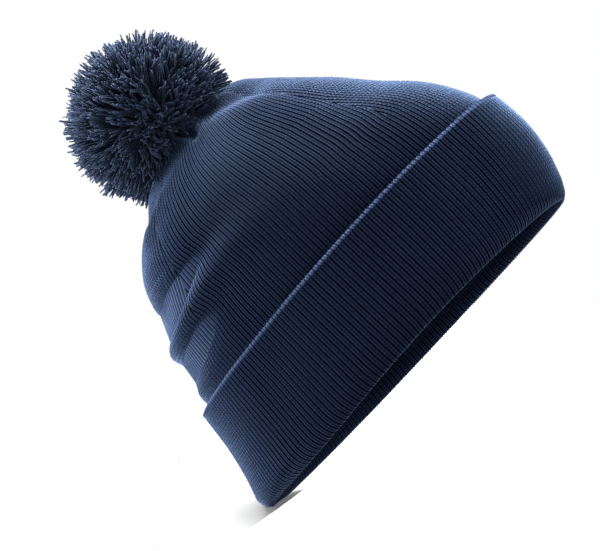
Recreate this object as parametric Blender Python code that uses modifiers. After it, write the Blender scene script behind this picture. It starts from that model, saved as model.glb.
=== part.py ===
"""Knit beanie with a turned-up cuff and a yarn pom-pom.

The hat stands on its brim: +Z points through the crown, the forehead faces -Y, and the origin is
under the middle of its length and width. One long rib-knit tube is doubled, so that each wall is two plies thick,
and its hemmed edge is turned up as the cuff. Lengths are metres.
"""

import math

import bmesh
import bpy
from mathutils import Matrix, Vector

MM = 0.001

# Knit plies
PLY = 2.0 * MM  # one ply of the rib knit
PLY_GAP = 0.4 * MM  # slack between neighbouring plies
WALL_STEP = PLY + PLY_GAP
AROUND = 40  # facets round the head

# Cuff
CUFF_TOP = 54.5 * MM  # mean height of the cuff's plies
CUFF_TOP_LIFT = 2.8 * MM  # the cuff stands higher at the forehead, and lower at the nape
HEM_RADIUS = 2.3 * MM  # the rolled hem that joins the two cuff plies

# Brim
FOLD_TOP = 5.6 * MM  # the folds end here, and the plies begin
PLY_FOOT = FOLD_TOP + 0.9 * MM  # the leaning walls' inner rims dip below their outer ones
BRIM_FLAT = (3.2 * MM, 6.4 * MM)  # how far in from the outer face the brim rests flat

# Crown
CROWN_RINGS = 17  # lofted rings from the brim up to the gathered end
DART_RINGS = (10, 15)  # the darts run down the crown between these rings
DART_GAP = 0.6 * MM
DART_RADIUS = 0.8 * MM

# Pom-pom
POM_PIVOT = Vector((0, 11.1 * MM, 157.5 * MM))  # where the tie leaves the crown
POM_CENTRE = Vector((0, 13.1 * MM, 175.0 * MM))
POM_RADIUS = 40.5 * MM
POM_LEAN = math.radians(10)  # the crown's top slopes to the rear
POM_BASE_RISE = math.radians(12.5)  # the underside rises outwards, so the ball can tip
POM_FRONT_RISE = math.radians(25)  # more at the front, where the crown's ridge is
POM_BASE_GAP = 4.2 * MM
WELL_RADIUS = 6.2 * MM
TIE_RADIUS = 1.2 * MM
TIE_HEIGHTS = (-5.6, -3.5, -1.2, 1.2)  # along the pom-pom's axis, from the pivot
KNOT_RADIUS = 8.0 * MM
KNOT_FLATNESS = 0.42
KNOT_HEIGHT = -9.6 * MM
DRAW_RADIUS = 3.6 * MM  # the loop of the draw thread
DRAW_DEPTH = -1.4 * MM

# Outer face of the crown: height, reach forwards, reach rearwards, half width, lift at the front
CROWN_SECTIONS = (
    (7.4, 99.1, 106, 81.2, 0),
    (22, 104.3, 101.5, 82.6, 0),
    (40, 107.2, 97.3, 83.5, 0),
    (58, 106.7, 93.7, 83.6, 0),
    (73, 101.9, 89.5, 82.8, 0),
    (89, 92.5, 87.1, 79.6, 0),
    (105, 78.3, 80.1, 73.4, 0),
    (121, 65.7, 71.9, 64.4, 0),
    (135, 52.5, 59.3, 53, 0),
    (147, 41.3, 42.7, 40, 0),
    (155.5, 30.5, 28.5, 27.4, 0.8),
    (159.4, 12.9, 21.7, 14.6, 1.8),
    (158, -5.1, 17.1, 6, 1.1),
)

# Outer face of the cuff, in the same order
CUFF_SECTIONS = (
    (0, 102.5, 112.5, 86, 0),
    (6, 103.7, 111.5, 86.4, 0),
    (20, 109.1, 106.9, 87.5, 0),
    (35, 112.1, 102.9, 88.3, 0),
    (50, 112.3, 100.3, 88.5, 0),
    (64, 111.1, 98.3, 88.2, 0),
)

NAVY = (0.020, 0.036, 0.078)
DEEP_NAVY = (0.014, 0.025, 0.055)
THREAD_NAVY = (0.010, 0.016, 0.036)


def clear_scene():
    for old in list(bpy.data.objects):
        bpy.data.objects.remove(old, do_unlink=True)


def new_collection(name):
    collection = bpy.data.collections.new(name)
    bpy.context.scene.collection.children.link(collection)
    return collection


def knit_material(name, colour, roughness=0.9):
    material = bpy.data.materials.new(name)
    material.use_nodes = True
    shader = material.node_tree.nodes["Principled BSDF"]
    shader.inputs["Base Color"].default_value = (*colour, 1)
    shader.inputs["Roughness"].default_value = roughness
    shader.inputs["Metallic"].default_value = 0
    return material


def add_object(name, data, collection, material):
    piece = bpy.data.objects.new(name, data)
    piece.data.materials.append(material)
    collection.objects.link(piece)
    return piece


def smooth_between(sections, place):
    """The section at a place from 0, the first section, to 1, the last, on a smooth curve."""
    last = len(sections) - 1
    index = min(int(place * last), last - 1)
    t = place * last - index
    before = sections[max(index - 1, 0)]
    start, end = sections[index], sections[index + 1]
    after = sections[min(index + 2, last)]
    values = []
    for p0, p1, p2, p3 in zip(before, start, end, after):
        bend = 2 * p0 - 5 * p1 + 4 * p2 - p3
        twist = 3 * (p1 - p2) + p3 - p0
        values.append(0.5 * (2 * p1 + t * (p2 - p0) + t * t * bend + t**3 * twist) * MM)
    return values


def section_at_height(sections, height):
    """The section at a height, for a wall whose sections rise steadily."""
    low, high = 0.0, 1.0
    for _ in range(30):
        middle = (low + high) / 2
        if smooth_between(sections, middle)[0] < height:
            low = middle
        else:
            high = middle
    return smooth_between(sections, low)


def point_on(section, angle, depth=0.0, height=None):
    """A point of a section, angle 0 at the forehead, moved in by depth square to the outline."""
    z, front, rear, half_width, lift = section
    reach, centre = (front + rear) / 2, (rear - front) / 2
    side, ahead = math.sin(angle), math.cos(angle)
    outward = Vector((reach * side, -half_width * ahead, 0)).normalized()
    rim = Vector((half_width * side, centre - reach * ahead, 0))
    z = z + lift * ahead if height is None else height
    return rim - outward * depth + Vector((0, 0, z))


def loft(name, rings, closed_section):
    """A mesh through rings of equal length, listed from the foot up with the angle rising."""
    bm = bmesh.new()
    rows = [[bm.verts.new(point) for point in ring] for ring in rings]
    pairs = list(zip(rows, rows[1:]))
    if closed_section:
        pairs.append((rows[-1], rows[0]))
    for lower, upper in pairs:
        for i in range(len(lower)):
            j = (i + 1) % len(lower)
            bm.faces.new((lower[i], lower[j], upper[j], upper[i]))
    mesh = bpy.data.meshes.new(name)
    bm.to_mesh(mesh)
    bm.free()
    return mesh


def turns():
    return [math.tau * i / AROUND for i in range(AROUND)]


def face_outwards(mesh, move=0.0):
    """Make the normals agree and point away from the head, and move the surface in along them."""
    bm = bmesh.new()
    bm.from_mesh(mesh)
    bm.normal_update()
    lowest = min(bm.faces, key=lambda face: face.calc_center_median().z)
    middle = lowest.calc_center_median()
    if lowest.normal.dot(Vector((middle.x, middle.y, 0))) < 0:
        bmesh.ops.reverse_faces(bm, faces=bm.faces)
        bm.normal_update()
    for vert in bm.verts:
        vert.co -= vert.normal * move
    bm.to_mesh(mesh)
    bm.free()
    mesh.shade_smooth()


def solidify(piece, thickness):
    wall = piece.modifiers.new("ply", "SOLIDIFY")
    wall.thickness = thickness
    wall.offset = -1
    wall.use_even_offset = True


def crown_ply(name, layer, collection, material):
    """One ply from the brim to the gathered end; layer 0 is the outer one, 1 the lining."""
    rings = []
    for k in range(CROWN_RINGS + 1):
        section = smooth_between(CROWN_SECTIONS, k / CROWN_RINGS)
        rings.append([point_on(section, angle) for angle in turns()])
    mesh = loft(name, rings, closed_section=False)
    face_outwards(mesh, layer * WALL_STEP)
    piece = add_object(name, mesh, collection, material)
    solidify(piece, PLY)
    return piece


def cuff_ply(name, depth, collection, material):
    """One ply of the cuff, from the fold at the brim to the hem, depth in from the outer face."""
    steps = 4
    rings = []
    for k in range(steps + 1):
        ring = []
        for angle in turns():
            top = CUFF_TOP + CUFF_TOP_LIFT * math.cos(angle)
            height = PLY_FOOT + (top - PLY_FOOT) * k / steps
            section = section_at_height(CUFF_SECTIONS, height)
            ring.append(point_on(section, angle, depth, height))
        rings.append(ring)
    mesh = loft(name, rings, closed_section=False)
    face_outwards(mesh)
    piece = add_object(name, mesh, collection, material)
    solidify(piece, PLY)
    return piece


def fold_ring(name, profile, collection, material):
    """A closed section of (depth, height) points, carried round the brim."""
    rings = []
    for depth, height in profile:
        section = section_at_height(CUFF_SECTIONS, height)
        rings.append([point_on(section, angle, depth, height) for angle in turns()])
    mesh = loft(name, rings, closed_section=True)
    mesh.shade_flat()
    return add_object(name, mesh, collection, material)


def brim_folds(collection, material):
    """The lining turns up into the cuff's face, round the outer ply's turn into the cuff's back."""
    wall = 4 * PLY + 3 * PLY_GAP
    left, right = BRIM_FLAT
    outer = [
        (0, FOLD_TOP),
        (0.2 * MM, 3.0 * MM),
        (1.3 * MM, 0.9 * MM),
        (left, 0),
        (right, 0),
        (wall - 1.3 * MM, 0.9 * MM),
        (wall - 0.2 * MM, 3.0 * MM),
        (wall, FOLD_TOP),
        (wall - PLY, FOLD_TOP),
        (wall - PLY - 0.6 * MM, 3.0 * MM),
        (right - 0.4 * MM, PLY),
        (left + 0.4 * MM, PLY),
        (PLY + 0.6 * MM, 3.0 * MM),
        (PLY, FOLD_TOP),
    ]
    fold_ring("brim_outer_fold", outer[::-1], collection, material)
    inner_left, inner_right = WALL_STEP, wall - WALL_STEP
    inner = [
        (inner_left, FOLD_TOP),
        (inner_left + 0.7 * MM, 3.2 * MM),
        (inner_left + 1.6 * MM, PLY + PLY_GAP),
        (inner_right - 1.6 * MM, PLY + PLY_GAP),
        (inner_right - 0.7 * MM, 3.2 * MM),
        (inner_right, FOLD_TOP),
        (inner_right - 1.9 * MM, FOLD_TOP),
        ((inner_left + inner_right) / 2, 4.6 * MM),
        (inner_left + 1.9 * MM, FOLD_TOP),
    ]
    fold_ring("brim_inner_fold", inner[::-1], collection, material)


def tube(name, points, radius, collection, material, cyclic=False, sides=2):
    """A thread or rolled edge along points."""
    curve = bpy.data.curves.new(name, "CURVE")
    curve.dimensions = "3D"
    curve.bevel_depth = radius
    curve.bevel_resolution = sides
    curve.use_fill_caps = not cyclic
    spline = curve.splines.new("POLY")
    spline.points.add(len(points) - 1)
    for target, point in zip(spline.points, points):
        target.co = (*point, 1)
    spline.use_cyclic_u = cyclic
    return add_object(name, curve, collection, material)


def cuff_hem(collection, material):
    """The hem's rolled edge, which sits on the tops of the two cuff plies."""
    depth = PLY + PLY_GAP / 2
    points = []
    for angle in turns():
        height = CUFF_TOP + CUFF_TOP_LIFT * math.cos(angle) + HEM_RADIUS + 0.35 * MM
        section = section_at_height(CUFF_SECTIONS, height)
        points.append(point_on(section, angle, depth, height))
    tube("cuff_hem", points, HEM_RADIUS, collection, material, cyclic=True, sides=1)


def dart_seams(lining_ply, collection, material):
    """Four sewn darts that draw the crown in, felt as thin ridges under the lining."""
    clear = PLY + DART_RADIUS + DART_GAP
    first, last = DART_RINGS
    for quarter, label in enumerate(("front_left", "rear_left", "rear_right", "front_right")):
        points = []
        for ring in range(first, last + 1):
            column = AROUND // 8 + quarter * AROUND // 4
            vert = lining_ply.data.vertices[ring * AROUND + column]
            points.append(vert.co - vert.normal * clear)
        tube(f"dart_seam_{label}", points, DART_RADIUS, collection, material, sides=1)


def draw_thread(collection, material):
    """The thread that gathers the end of the tube, lying just inside its opening."""
    frame = pom_frame()
    points = []
    for turn in turns()[::2]:
        across = DRAW_RADIUS * math.cos(turn)
        along = DRAW_RADIUS * math.sin(turn)
        points.append(frame @ Vector((across, along, DRAW_DEPTH)))
    tube("crown_draw_thread", points, 0.7 * MM, collection, material, cyclic=True, sides=1)


def pom_frame():
    """Placement of the pom-pom's own axes: origin on the pivot, +Z up its tie."""
    return Matrix.Translation(POM_PIVOT) @ Matrix.Rotation(-POM_LEAN, 4, "X")


def well_cutter(collection):
    """Cuts the well that the tie and its binding stand in."""
    bm = bmesh.new()
    bmesh.ops.create_cone(
        bm, cap_ends=True, segments=12, radius1=WELL_RADIUS, radius2=WELL_RADIUS, depth=30 * MM
    )
    bmesh.ops.translate(bm, vec=(0, 0, 7 * MM), verts=bm.verts)
    mesh = bpy.data.meshes.new("pom_well")
    bm.to_mesh(mesh)
    bm.free()
    cutter = bpy.data.objects.new("pom_well", mesh)
    cutter.matrix_world = pom_frame()
    cutter.hide_render = True
    cutter.display_type = "WIRE"
    collection.objects.link(cutter)
    return cutter


def pom_ball(collection, cutters, material):
    """The ball of cut yarn: a sphere whose underside rises outwards, clear of the crown."""
    centre = pom_frame().inverted() @ POM_CENTRE
    bm = bmesh.new()
    bmesh.ops.create_uvsphere(bm, u_segments=28, v_segments=18, radius=POM_RADIUS)
    bmesh.ops.translate(bm, vec=centre, verts=bm.verts)
    for vert in bm.verts:
        out = math.hypot(vert.co.x, vert.co.y)
        ahead = max(-vert.co.y, 0) / max(out, MM)
        rise = POM_BASE_RISE + (POM_FRONT_RISE - POM_BASE_RISE) * ahead**2
        vert.co.z = max(vert.co.z, POM_BASE_GAP + out * math.tan(rise))
    mesh = bpy.data.meshes.new("pom_yarn")
    bm.to_mesh(mesh)
    bm.free()
    mesh.shade_smooth()
    ball = add_object("pom_yarn", mesh, collection, material)
    ball.matrix_world = pom_frame()
    cut = ball.modifiers.new("well", "BOOLEAN")
    cut.operation = "DIFFERENCE"
    cut.object = well_cutter(cutters)


def turned(name, profile, material, collection):
    """A turned piece on the pom-pom's axis, from an outer profile that runs down."""
    bm = bmesh.new()
    verts = [bm.verts.new((radius, 0, height)) for radius, height in profile]
    for upper, lower in zip(verts, verts[1:]):
        bm.edges.new((upper, lower))
    mesh = bpy.data.meshes.new(name)
    bm.to_mesh(mesh)
    bm.free()
    piece = add_object(name, mesh, collection, material)
    turn = piece.modifiers.new("turn", "SCREW")
    turn.steps = 14
    turn.render_steps = 14
    turn.use_merge_vertices = True
    turn.merge_threshold = 0.01 * MM
    turn.use_smooth_shade = True
    piece.matrix_world = pom_frame()
    return piece


def pom_fastening(collection, material):
    """The binding round the yarn's waist, the tie down through the crown, and its knot."""
    binding = [
        (0, 18.0),
        (3.0, 17.4),
        (4.6, 15.6),
        (4.6, 13.8),
        (2.6, 12.0),
        (1.7, 9.0),
        (1.5, 2.0),
        (0, 2.0),
    ]
    profile = [(radius * MM, height * MM) for radius, height in binding]
    turned("pom_binding", profile, material, collection)

    frame = pom_frame()
    stem = [frame @ Vector((0, 0, height * MM)) for height in TIE_HEIGHTS]
    tie = tube("pom_tie", stem, TIE_RADIUS, collection, material)
    tie.data.transform(frame.inverted())
    tie.matrix_world = frame

    bm = bmesh.new()
    bmesh.ops.create_uvsphere(bm, u_segments=14, v_segments=8, radius=KNOT_RADIUS)
    bmesh.ops.scale(bm, vec=(1, 1, KNOT_FLATNESS), verts=bm.verts)
    mesh = bpy.data.meshes.new("pom_anchor_knot")
    bm.to_mesh(mesh)
    bm.free()
    mesh.shade_smooth()
    knot = add_object("pom_anchor_knot", mesh, collection, material)
    knot.matrix_world = frame @ Matrix.Translation((0, 0, KNOT_HEIGHT))


def main():
    clear_scene()
    hat = new_collection("knit_beanie")
    cutters = new_collection("cutters")
    knit = knit_material("navy_rib_knit", NAVY)
    lining = knit_material("lining_rib_knit", DEEP_NAVY)
    yarn = knit_material("navy_cut_yarn", DEEP_NAVY, 0.95)
    thread = knit_material("sewing_thread", THREAD_NAVY, 0.7)

    crown_ply("crown_outer_ply", 0, hat, knit)
    lining_ply = crown_ply("crown_lining_ply", 1, hat, lining)
    cuff_ply("cuff_face_ply", 0, hat, knit)
    cuff_ply("cuff_back_ply", WALL_STEP, hat, knit)
    brim_folds(hat, knit)
    cuff_hem(hat, knit)
    dart_seams(lining_ply, hat, thread)
    draw_thread(hat, thread)
    pom_ball(hat, cutters, yarn)
    pom_fastening(hat, thread)


main()
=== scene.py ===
"""Rib-knit beanie with a turned-up cuff and a cut-yarn pom-pom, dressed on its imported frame.

The object stands brim down, forehead towards -Y, crown towards +Z. Lengths are metres. Angles round
the head start at the forehead and rise towards +X, and `MM` turns millimetres into metres.
"""

import logging
import math
from dataclasses import dataclass, field
from enum import Enum
from typing import Optional, Sequence, Union

import bpy
import numpy as np
from mathutils import Matrix, Vector


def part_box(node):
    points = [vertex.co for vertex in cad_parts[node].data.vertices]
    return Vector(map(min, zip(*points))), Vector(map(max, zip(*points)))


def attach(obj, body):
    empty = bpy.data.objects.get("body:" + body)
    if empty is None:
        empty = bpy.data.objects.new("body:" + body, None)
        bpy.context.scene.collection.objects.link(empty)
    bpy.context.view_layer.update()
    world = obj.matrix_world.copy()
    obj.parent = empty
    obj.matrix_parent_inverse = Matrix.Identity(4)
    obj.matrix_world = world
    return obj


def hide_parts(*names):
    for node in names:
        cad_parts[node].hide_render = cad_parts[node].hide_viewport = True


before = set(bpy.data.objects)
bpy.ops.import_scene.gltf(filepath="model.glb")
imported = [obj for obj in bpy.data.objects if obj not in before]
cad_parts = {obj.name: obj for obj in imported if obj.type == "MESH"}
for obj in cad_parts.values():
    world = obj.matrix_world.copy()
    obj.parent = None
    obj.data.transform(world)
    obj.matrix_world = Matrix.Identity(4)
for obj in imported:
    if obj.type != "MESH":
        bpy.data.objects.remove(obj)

LOG = logging.getLogger("beanie")
MM = 0.001
TURN = 2 * math.pi
RIGHT_SIDE = 1.5 * math.pi  # the angle of the wearer's right side
NUDGE = 1e-3  # a small step in angle or section number, for directions
Array = np.ndarray
Colour = tuple[float, float, float]


# Small mathematics
# -----------------


def smooth_step(low: float, high: float, values: Array) -> Array:
    """Ease from 0 at `low` to 1 at `high`."""
    t = np.clip((values - low) / (high - low), 0, 1)
    return t * t * (3 - 2 * t)


def hump(values: Array, middle: float, width: float) -> Array:
    """A bell of height 1 round `middle`."""
    return np.exp(-(((values - middle) / width) ** 2))


def wrapped(angles: Array) -> Array:
    """Angles brought between -pi and pi."""
    return (angles + math.pi) % TURN - math.pi


def smooth_table(table: Array, places: Array) -> Array:
    """Rows of a table read at fractional row numbers, on a Catmull-Rom curve.

    Args:
        table: One row for each section, one column for each measure.
        places: Row numbers, of any shape, from 0 to the last row.

    Returns:
        The measures, in a new last axis.
    """
    last = len(table) - 1
    index = np.clip(np.floor(places).astype(int), 0, last - 1)
    t = (places - index)[..., None]
    before, start = table[np.maximum(index - 1, 0)], table[index]
    end, after = table[index + 1], table[np.minimum(index + 2, last)]
    bend = 2 * before - 5 * start + 4 * end - after
    twist = 3 * (start - end) + after - before
    return 0.5 * (2 * start + t * (end - before) + t**2 * bend + t**3 * twist)


def running_sum(steps: Array) -> Array:
    """Distances at the ends of steps, from 0."""
    return np.concatenate([[0], np.cumsum(steps)])


def unit(vectors: Array) -> Array:
    """Vectors brought to length 1 along the last axis."""
    return vectors / np.maximum(np.linalg.norm(vectors, axis=-1, keepdims=True), 1e-12)


# Shader building
# ---------------


class Signal:
    """A socket's value in a material; Python's operators on it add Math nodes."""

    def __init__(self, graph: "Graph", socket: bpy.types.NodeSocket) -> None:
        """Wrap an output socket of a graph."""
        self.graph = graph
        self.socket = socket

    def _math(self, operation: str, *terms: "Term") -> "Signal":
        """The result of a Math node on up to three terms."""
        node = self.graph.node("ShaderNodeMath", {"operation": operation}, dict(enumerate(terms)))
        return Signal(self.graph, node.outputs[0])

    def __add__(self, other: "Term") -> "Signal":
        """Sum."""
        return self._math("ADD", self, other)

    def __sub__(self, other: "Term") -> "Signal":
        """Difference."""
        return self._math("SUBTRACT", self, other)

    def __rsub__(self, other: "Term") -> "Signal":
        """Difference, with the number first."""
        return self._math("SUBTRACT", other, self)

    def __mul__(self, other: "Term") -> "Signal":
        """Product."""
        return self._math("MULTIPLY", self, other)

    def __pow__(self, other: "Term") -> "Signal":
        """Power."""
        return self._math("POWER", self, other)

    def size(self) -> "Signal":
        """Absolute value."""
        return self._math("ABSOLUTE", self)

    def remainder(self) -> "Signal":
        """The part after the decimal point."""
        return self._math("FRACT", self)

    def cosine(self) -> "Signal":
        """Cosine."""
        return self._math("COSINE", self)

    def eased(self, low: float, high: float) -> "Signal":
        """Ease from 0 at `low` to 1 at `high`."""
        node = self.graph.node(
            "ShaderNodeMapRange",
            {"interpolation_type": "SMOOTHSTEP", "clamp": True},
            {"Value": self, "From Min": low, "From Max": high},
        )
        return Signal(self.graph, node.outputs["Result"])


Term = Union[Signal, float]
Given = Union[Signal, bpy.types.NodeSocket, float, Sequence[float]]


class Graph:
    """The node tree of one material, or of the world."""

    def __init__(self, owner: Union[bpy.types.Material, bpy.types.World]) -> None:
        """Start with an empty tree."""
        self.owner = owner
        owner.use_nodes = True
        self.tree = owner.node_tree
        self.tree.nodes.clear()

    def node(
        self, kind: str, settings: dict[str, object], inputs: dict[Union[str, int], Given]
    ) -> bpy.types.Node:
        """Add a node.

        Args:
            kind: The node's type name.
            settings: The node's own properties, set first.
            inputs: Values or links, by the socket's name or number.

        Returns:
            The new node.
        """
        node = self.tree.nodes.new(kind)
        for name, value in settings.items():
            setattr(node, name, value)
        for key, value in inputs.items():
            socket = node.inputs[key]
            if isinstance(value, Signal):
                self.tree.links.new(value.socket, socket)
            elif isinstance(value, bpy.types.NodeSocket):
                self.tree.links.new(value, socket)
            else:
                socket.default_value = value
        return node

    def noise(self, place: bpy.types.NodeSocket, scale: float, detail: float = 2.0) -> Signal:
        """Cloudy values round 0.5, `scale` cells to the metre of `place`."""
        inputs = {"Vector": place, "Scale": scale, "Detail": detail, "Roughness": 0.6}
        return Signal(self, self.node("ShaderNodeTexNoise", {}, inputs).outputs[0])

    def object_place(self) -> bpy.types.NodeSocket:
        """The piece's Object coordinates."""
        return self.node("ShaderNodeTexCoord", {}, {}).outputs["Object"]

    def blend(self, factor: Term, first: Given, second: Given) -> bpy.types.NodeSocket:
        """Mix two colours."""
        settings = {"data_type": "RGBA"}
        inputs = {0: factor, 6: first, 7: second}
        return self.node("ShaderNodeMix", settings, inputs).outputs[2]

    def attribute(self, name: str) -> Signal:
        """A number stored on the piece's points."""
        node = self.node("ShaderNodeAttribute", {"attribute_name": name}, {})
        return Signal(self, node.outputs["Fac"])

    def bump(self, height: Signal, distance: float, strength: float) -> bpy.types.NodeSocket:
        """A normal roughened by a height, which is 1 at `distance` metres."""
        inputs = {"Height": height, "Distance": distance, "Strength": strength}
        return self.node("ShaderNodeBump", {}, inputs).outputs[0]

    def surface(
        self, inputs: dict[Union[str, int], Given], gap: Optional[tuple[Signal, Given]] = None
    ) -> bpy.types.Material:
        """Finish the material with a Principled shader.

        Args:
            inputs: Inputs of the shader.
            gap: Where a dull, sheenless dark shader takes over as painted shade, from 0 to 1, and the shade's
                colour.

        Returns:
            The finished material.
        """
        shader = self.node("ShaderNodeBsdfPrincipled", {}, inputs)
        if gap is not None:
            share, colour = gap
            dull = {"Base Color": colour, "Roughness": 1.0, "Specular IOR Level": 0.0}
            # The dull dark shader is painted shade.
            dark = self.node("ShaderNodeBsdfPrincipled", {}, dull)
            joined = {0: share.socket, 1: shader.outputs[0], 2: dark.outputs[0]}
            shader = self.node("ShaderNodeMixShader", {}, joined)
        self.node("ShaderNodeOutputMaterial", {}, {"Surface": shader.outputs[0]})
        return self.owner


# Finishes
# --------


@dataclass(frozen=True)
class RibKnit:
    """Fine one-by-one rib in soft acrylic yarn: rounded ribs of V stitches, with painted shade in the valleys
    between the ribs and between each rib's two cords, and a painted highlight on the stitches' raised legs.
    """

    name: str
    light: Colour
    dark: Colour
    # The valley colour is painted shade, laid in the valleys and between the cords.
    valley: Colour
    sheen: float = 1.0
    sheen_tint: Colour = (0.27, 0.42, 0.71)
    relief: float = 0.30 * MM

    def material(self) -> bpy.types.Material:
        """Build the knit from the piece's UV map, whose units are ribs and courses."""
        graph = Graph(bpy.data.materials.new(self.name))
        place = graph.object_place()
        uv = graph.node("ShaderNodeUVMap", {"uv_map": "stitches"}, {}).outputs[0]
        split = graph.node("ShaderNodeSeparateXYZ", {}, {0: uv})
        rib, course = Signal(graph, split.outputs[0]), Signal(graph, split.outputs[1])
        across = (rib.remainder() - 0.5).size() * 2
        leg = 1 - (across * 2 - 1) ** 2.0
        stitch = (course * TURN).cosine() * 0.5 + 0.5
        fibre = graph.noise(place, 2100.0, 3.0)
        heather = graph.noise(place, 300.0, 2.0)
        # Painted shade: darker between a rib's two cords and in the valleys between ribs, where a dull,
        # sheenless dark shader takes over.
        groove = (1 - across).eased(0.68, 0.94) * 0.55
        valley = across.eased(0.56, 0.82)
        gap = valley * 0.96 + (1 - across).eased(0.72, 0.94) * 0.40
        # Random heather and fibre mottling, plus a painted highlight on each stitch's raised legs; light and
        # dark bound both.
        tone = (heather * 0.35 + fibre * 0.40 + leg * stitch * 0.45).eased(0.32, 1.0)
        yarn = graph.blend(tone, (*self.dark, 1), (*self.light, 1))
        yarn_with_painted_shade = graph.blend(groove, yarn, (*self.valley, 1))
        height = leg * (stitch * 0.4 + 0.6) + fibre * 0.5
        return graph.surface(
            {
                "Base Color": yarn_with_painted_shade,
                "Roughness": 0.95,
                "Specular IOR Level": 0.05,
                "Sheen Weight": self.sheen,
                "Sheen Roughness": 0.34,
                "Sheen Tint": (*self.sheen_tint, 1),
                "Normal": graph.bump(height, self.relief, 0.9),
            },
            (gap, (*self.valley, 1)),
        )


@dataclass(frozen=True)
class CutYarn:
    """Cut acrylic yarn, with painted shade darkening it where it is buried and a painted highlight paling its
    frayed tips.
    """

    name: str = "navy_cut_yarn"
    # root and shaft are painted shade inside the ball; tip is a painted highlight on the trimmed ends.
    root: Colour = (0.004, 0.007, 0.016)
    shaft: Colour = (0.005, 0.009, 0.021)
    tip: Colour = (0.024, 0.038, 0.076)

    def material(self) -> bpy.types.Material:
        """Build the yarn from each strand's own attributes."""
        graph = Graph(bpy.data.materials.new(self.name))
        along, shade = graph.attribute("along"), graph.attribute("shade")
        fibre = graph.noise(graph.object_place(), 2400.0, 2.0)
        # Painted shade towards the buried roots, then a painted highlight on the tips, stronger on some
        # strands than others.
        body = graph.blend(along.eased(0.35, 0.9), (*self.root, 1), (*self.shaft, 1))
        lit = graph.blend(along.eased(0.82, 1.0) * shade, body, (*self.tip, 1))
        return graph.surface(
            {
                "Base Color": lit,
                "Roughness": 0.9,
                "Specular IOR Level": 0.12,
                "Sheen Weight": 0.4,
                "Sheen Roughness": 0.4,
                "Sheen Tint": (0.28, 0.42, 0.66, 1),
                "Normal": graph.bump(fibre, 0.15 * MM, 0.6),
            }
        )


@dataclass(frozen=True)
class SewingThread:
    """Twisted polyester thread."""

    name: str = "twisted_thread"
    colour: Colour = (0.012, 0.020, 0.045)

    def material(self) -> bpy.types.Material:
        """Build the thread with a fine diagonal twist, painted paler on its raised bands as a painted
        highlight.
        """
        graph = Graph(bpy.data.materials.new(self.name))
        place = graph.object_place()
        settings = {"wave_type": "BANDS", "bands_direction": "DIAGONAL"}
        wave = graph.node("ShaderNodeTexWave", settings, {"Vector": place, "Scale": 420.0})
        twist = Signal(graph, wave.outputs["Fac"])
        # Painted highlight: the raised bands of the twist are painted paler.
        pale = tuple(1.8 * part for part in self.colour)
        return graph.surface(
            {
                "Base Color": graph.blend(twist, (*self.colour, 1), (*pale, 1)),
                "Roughness": 0.6,
                "Sheen Weight": 0.2,
                "Normal": graph.bump(twist, 0.2 * MM, 0.7),
            }
        )


# The knitted cloth
# -----------------


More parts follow.
